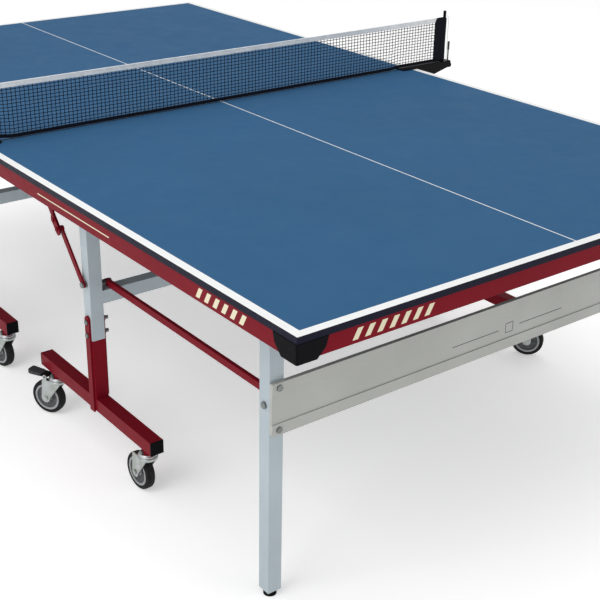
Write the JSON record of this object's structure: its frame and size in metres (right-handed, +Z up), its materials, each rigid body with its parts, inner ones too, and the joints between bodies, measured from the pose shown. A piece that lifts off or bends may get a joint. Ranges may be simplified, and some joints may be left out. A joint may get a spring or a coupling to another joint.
{
  "type": "table tennis table",
  "caption": "Folding roll-away table tennis table: blue boards on steel frames, folding end legs, braced posts on braked casters, and a clamp-on net.",
  "frame": {"origin": "on the floor under the middle of the net", "axes": "+X along the table towards the near end, +Y across it, +Z up"},
  "size_m": [2.742, 1.874, 0.9325],
  "materials": {
    "playing_surface": "matt blue paint",
    "navy_lipping": "satin",
    "red_steel": "satin powder coat",
    "grey_steel": "satin powder coat",
    "grey_panel": "satin powder coat",
    "black_plastic": "fine grain",
    "pedal_plastic": "fine grain",
    "zinc": "bright zinc plate",
    "tyre": "matt",
    "net_cloth": "knotless mesh",
    "black_steel": "satin black"
  },
  "bodies": {
    "near_base": {"near_posts": "grey_steel", "near_foot_frames": "red_steel", "near_end_caps": "black_plastic", "near_base_bolts": "zinc"},
    "near_top": {"near_board": "playing_surface", "near_edge_band": "navy_lipping", "near_frame_rails": "red_steel", "near_corner_guards": "black_plastic", "near_board_fittings": "zinc"},
    "near_legs": {"near_end_legs": "grey_steel", "near_end_panel": "grey_panel", "near_leg_bolts": "zinc"},
    "near_link_bars_body": {"near_link_bars": "red_steel"},
    "near_brace_lower_body": {"near_brace_lower": "red_steel"},
    "near_brace_upper_body": {"near_brace_upper": "red_steel"},
    "near_foot_a_body": {"near_foot_a": "black_plastic"},
    "near_brake_caster_a": {"near_brake_fork_a": "zinc"},
    "near_brake_roller_a": {"near_brake_wheel_a": "tyre"},
    "near_pedal_a_body": {"near_brake_pedal_a": "pedal_plastic"},
    "near_plain_caster_a": {"near_plain_fork_a": "zinc"},
    "near_plain_roller_a": {"near_plain_wheel_a": "tyre"},
    "near_foot_b_body": {"near_foot_b": "black_plastic"},
    "near_brake_caster_b": {"near_brake_fork_b": "zinc"},
    "near_brake_roller_b": {"near_brake_wheel_b": "tyre"},
    "near_pedal_b_body": {"near_brake_pedal_b": "pedal_plastic"},
    "near_plain_caster_b": {"near_plain_fork_b": "zinc"},
    "near_plain_roller_b": {"near_plain_wheel_b": "tyre"},
    "far_base": {"far_posts": "grey_steel", "far_foot_frames": "red_steel", "far_end_caps": "black_plastic", "far_base_bolts": "zinc"},
    "far_top": {"far_board": "playing_surface", "far_edge_band": "navy_lipping", "far_frame_rails": "red_steel", "far_corner_guards": "black_plastic", "far_board_fittings": "zinc"},
    "far_legs": {"far_end_legs": "grey_steel", "far_end_panel": "grey_panel", "far_leg_bolts": "zinc"},
    "far_link_bars_body": {"far_link_bars": "red_steel"},
    "far_brace_lower_body": {"far_brace_lower": "red_steel"},
    "far_brace_upper_body": {"far_brace_upper": "red_steel"},
    "far_foot_a_body": {"far_foot_a": "black_plastic"},
    "far_brake_caster_a": {"far_brake_fork_a": "zinc"},
    "far_brake_roller_a": {"far_brake_wheel_a": "tyre"},
    "far_pedal_a_body": {"far_brake_pedal_a": "pedal_plastic"},
    "far_plain_caster_a": {"far_plain_fork_a": "zinc"},
    "far_plain_roller_a": {"far_plain_wheel_a": "tyre"},
    "far_foot_b_body": {"far_foot_b": "black_plastic"},
    "far_brake_caster_b": {"far_brake_fork_b": "zinc"},
    "far_brake_roller_b": {"far_brake_wheel_b": "tyre"},
    "far_pedal_b_body": {"far_brake_pedal_b": "pedal_plastic"},
    "far_plain_caster_b": {"far_plain_fork_b": "zinc"},
    "far_plain_roller_b": {"far_plain_wheel_b": "tyre"},
    "net_set": {"net": "net_cloth", "net_clamp_a": "black_steel", "net_clamp_b": "black_steel"},
    "net_knob_a_body": {"net_knob_a": "black_plastic"},
    "net_knob_b_body": {"net_knob_b": "black_plastic"}
  },
  "joints": [
    {"name": "near_fold", "type": "hinge", "parent": "near_base", "child": "near_top", "pos_m": [0.407, 0, 0.69], "axis": [0, -1, 0], "range_deg": [0, 90]},
    {"name": "near_legs_turn", "type": "hinge", "parent": "near_top", "child": "near_legs", "pos_m": [1.1405, 0, 0.69], "axis": [0, -1, 0], "range_deg": [-90, 0]},
    {"name": "near_link_turn", "type": "hinge", "parent": "near_base", "child": "near_link_bars_body", "pos_m": [0.407, 0, 0.484], "axis": [0, -1, 0], "range_deg": [0, 90]},
    {"name": "near_brace_lower_turn", "type": "hinge", "parent": "near_base", "child": "near_brace_lower_body", "pos_m": [0.407, 0, 0.491], "axis": [0, -1, 0], "range_deg": [-29.07, 0]},
    {"name": "near_brace_upper_turn", "type": "hinge", "parent": "near_top", "child": "near_brace_upper_body", "pos_m": [0.205, 0, 0.727], "axis": [0, -1, 0], "range_deg": [0, 47.22]},
    {"name": "near_leveller_a", "type": "hinge", "parent": "near_legs", "child": "near_foot_a_body", "pos_m": [1.1405, -0.6485, 0], "axis": [0, 0, 1], "continuous": true},
    {"name": "near_brake_swivel_a", "type": "hinge", "parent": "near_base", "child": "near_brake_caster_a", "pos_m": [0.165, -0.664, 0.112], "axis": [0, 0, 1], "continuous": true},
    {"name": "near_brake_roll_a", "type": "hinge", "parent": "near_brake_caster_a", "child": "near_brake_roller_a", "pos_m": [0.1341, -0.68043, 0.05], "axis": [0.4695, -0.8829, 0], "continuous": true},
    {"name": "near_pedal_a", "type": "hinge", "parent": "near_brake_caster_a", "child": "near_pedal_a_body", "pos_m": [0.13498, -0.67996, 0.117], "axis": [0.4695, -0.8829, 0], "range_deg": [0, 6]},
    {"name": "near_plain_swivel_a", "type": "hinge", "parent": "near_base", "child": "near_plain_caster_a", "pos_m": [0.647, -0.664, 0.112], "axis": [0, 0, 1], "continuous": true},
    {"name": "near_plain_roll_a", "type": "hinge", "parent": "near_plain_caster_a", "child": "near_plain_roller_a", "pos_m": [0.61202, -0.66522, 0.05], "axis": [0.0349, -0.9994, 0], "continuous": true},
    {"name": "near_leveller_b", "type": "hinge", "parent": "near_legs", "child": "near_foot_b_body", "pos_m": [1.1405, 0.6485, 0], "axis": [0, 0, 1], "continuous": true},
    {"name": "near_brake_swivel_b", "type": "hinge", "parent": "near_base", "child": "near_brake_caster_b", "pos_m": [0.649, 0.664, 0.112], "axis": [0, 0, 1], "continuous": true},
    {"name": "near_brake_roll_b", "type": "hinge", "parent": "near_brake_caster_b", "child": "near_brake_roller_b", "pos_m": [0.67767, 0.68407, 0.05], "axis": [-0.5736, 0.8192, 0], "continuous": true},
    {"name": "near_pedal_b", "type": "hinge", "parent": "near_brake_caster_b", "child": "near_pedal_b_body", "pos_m": [0.67685, 0.6835, 0.117], "axis": [-0.5736, 0.8192, 0], "range_deg": [0, 6]},
    {"name": "near_plain_swivel_b", "type": "hinge", "parent": "near_base", "child": "near_plain_caster_b", "pos_m": [0.167, 0.664, 0.112], "axis": [0, 0, 1], "continuous": true},
    {"name": "near_plain_roll_b", "type": "hinge", "parent": "near_plain_caster_b", "child": "near_plain_roller_b", "pos_m": [0.20147, 0.67008, 0.05], "axis": [-0.1736, 0.9848, 0], "continuous": true},
    {"name": "far_fold", "type": "hinge", "parent": "far_base", "child": "far_top", "pos_m": [-0.407, 0, 0.69], "axis": [0, 1, 0], "range_deg": [0, 90]},
    {"name": "far_legs_turn", "type": "hinge", "parent": "far_top", "child": "far_legs", "pos_m": [-1.1405, 0, 0.69], "axis": [0, 1, 0], "range_deg": [-90, 0]},
    {"name": "far_link_turn", "type": "hinge", "parent": "far_base", "child": "far_link_bars_body", "pos_m": [-0.407, 0, 0.484], "axis": [0, 1, 0], "range_deg": [0, 90]},
    {"name": "far_brace_lower_turn", "type": "hinge", "parent": "far_base", "child": "far_brace_lower_body", "pos_m": [-0.407, 0, 0.491], "axis": [0, 1, 0], "range_deg": [-29.07, 0]},
    {"name": "far_brace_upper_turn", "type": "hinge", "parent": "far_top", "child": "far_brace_upper_body", "pos_m": [-0.205, 0, 0.727], "axis": [0, 1, 0], "range_deg": [0, 47.22]},
    {"name": "far_leveller_a", "type": "hinge", "parent": "far_legs", "child": "far_foot_a_body", "pos_m": [-1.1405, 0.6485, 0], "axis": [0, 0, 1], "continuous": true},
    {"name": "far_brake_swivel_a", "type": "hinge", "parent": "far_base", "child": "far_brake_caster_a", "pos_m": [-0.165, 0.664, 0.112], "axis": [0, 0, 1], "continuous": true},
    {"name": "far_brake_roll_a", "type": "hinge", "parent": "far_brake_caster_a", "child": "far_brake_roller_a", "pos_m": [-0.1341, 0.68043, 0.05], "axis": [-0.4695, 0.8829, 0], "continuous": true},
    {"name": "far_pedal_a", "type": "hinge", "parent": "far_brake_caster_a", "child": "far_pedal_a_body", "pos_m": [-0.13498, 0.67996, 0.117], "axis": [-0.4695, 0.8829, 0], "range_deg": [0, 6]},
    {"name": "far_plain_swivel_a", "type": "hinge", "parent": "far_base", "child": "far_plain_caster_a", "pos_m": [-0.647, 0.664, 0.112], "axis": [0, 0, 1], "continuous": true},
    {"name": "far_plain_roll_a", "type": "hinge", "parent": "far_plain_caster_a", "child": "far_plain_roller_a", "pos_m": [-0.61202, 0.66522, 0.05], "axis": [-0.0349, 0.9994, 0], "continuous": true},
    {"name": "far_leveller_b", "type": "hinge", "parent": "far_legs", "child": "far_foot_b_body", "pos_m": [-1.1405, -0.6485, 0], "axis": [0, 0, 1], "continuous": true},
    {"name": "far_brake_swivel_b", "type": "hinge", "parent": "far_base", "child": "far_brake_caster_b", "pos_m": [-0.649, -0.664, 0.112], "axis": [0, 0, 1], "continuous": true},
    {"name": "far_brake_roll_b", "type": "hinge", "parent": "far_brake_caster_b", "child": "far_brake_roller_b", "pos_m": [-0.67767, -0.68407, 0.05], "axis": [0.5736, -0.8192, 0], "continuous": true},
    {"name": "far_pedal_b", "type": "hinge", "parent": "far_brake_caster_b", "child": "far_pedal_b_body", "pos_m": [-0.67685, -0.6835, 0.117], "axis": [0.5736, -0.8192, 0], "range_deg": [0, 6]},
    {"name": "far_plain_swivel_b", "type": "hinge", "parent": "far_base", "child": "far_plain_caster_b", "pos_m": [-0.167, -0.664, 0.112], "axis": [0, 0, 1], "continuous": true},
    {"name": "far_plain_roll_b", "type": "hinge", "parent": "far_plain_caster_b", "child": "far_plain_roller_b", "pos_m": [-0.20147, -0.67008, 0.05], "axis": [0.1736, -0.9848, 0], "continuous": true},
    {"name": "halves_apart", "type": "slide", "parent": "near_base", "child": "far_base", "axis": [-1, 0, 0], "range_m": [0, 0.6]},
    {"name": "net_lift_off", "type": "slide", "parent": "near_base", "child": "net_set", "axis": [0, 0, 1], "range_m": [0, 0.3]},
    {"name": "net_knob_a_turn", "type": "hinge", "parent": "net_set", "child": "net_knob_a_body", "pos_m": [0, -0.927, 0.748], "axis": [0, -1, 0], "continuous": true},
    {"name": "net_knob_b_turn", "type": "hinge", "parent": "net_set", "child": "net_knob_b_body", "pos_m": [0, 0.927, 0.748], "axis": [0, 1, 0], "continuous": true}
  ],
  "couplings": [
    {"joint": "near_legs_turn", "follows": "near_fold", "ratio": -1},
    {"joint": "near_link_turn", "follows": "near_fold", "ratio": 1},
    {"joint": "near_brace_lower_turn", "follows": "near_fold", "ratio": -0.32292},
    {"joint": "near_brace_upper_turn", "follows": "near_fold", "ratio": 0.52457},
    {"joint": "far_legs_turn", "follows": "far_fold", "ratio": -1},
    {"joint": "far_link_turn", "follows": "far_fold", "ratio": 1},
    {"joint": "far_brace_lower_turn", "follows": "far_fold", "ratio": -0.32292},
    {"joint": "far_brace_upper_turn", "follows": "far_fold", "ratio": 0.52457}
  ]
}
